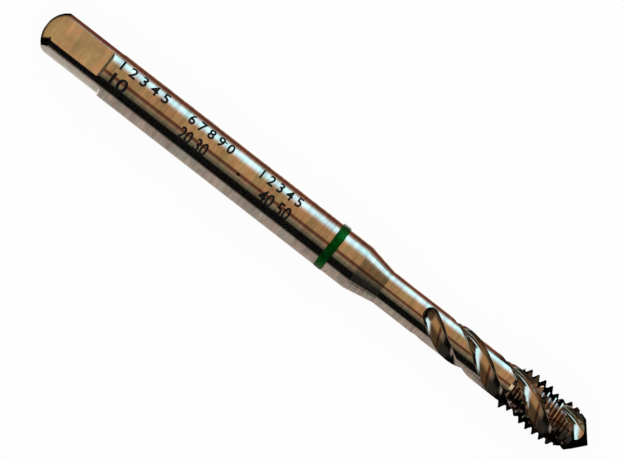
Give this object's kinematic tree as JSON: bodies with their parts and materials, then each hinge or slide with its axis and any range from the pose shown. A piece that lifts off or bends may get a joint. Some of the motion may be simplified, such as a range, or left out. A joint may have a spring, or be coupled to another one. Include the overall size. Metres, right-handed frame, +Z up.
{
  "type": "thread tap",
  "caption": "Hand and machine thread tap with a square-ended shank, necked body, right-hand spiral flutes and a short tapered lead, lying on its side.",
  "frame": {"origin": "middle of the tap's length, on the tangent line where it touches the surface it lies on", "axes": "+X along the tap's axis towards the cutting point, +Z up"},
  "size_m": [0.08, 0.006, 0.0061],
  "materials": {
    "ground_steel": "bright cylindrical-ground high-speed steel with fine grinding lines round the axis",
    "green_paint": "thin semi-gloss green paint band"
  },
  "bodies": {
    "root": {"tap_body": "ground_steel", "colour_band": "green_paint"}
  },
  "joints": []
}
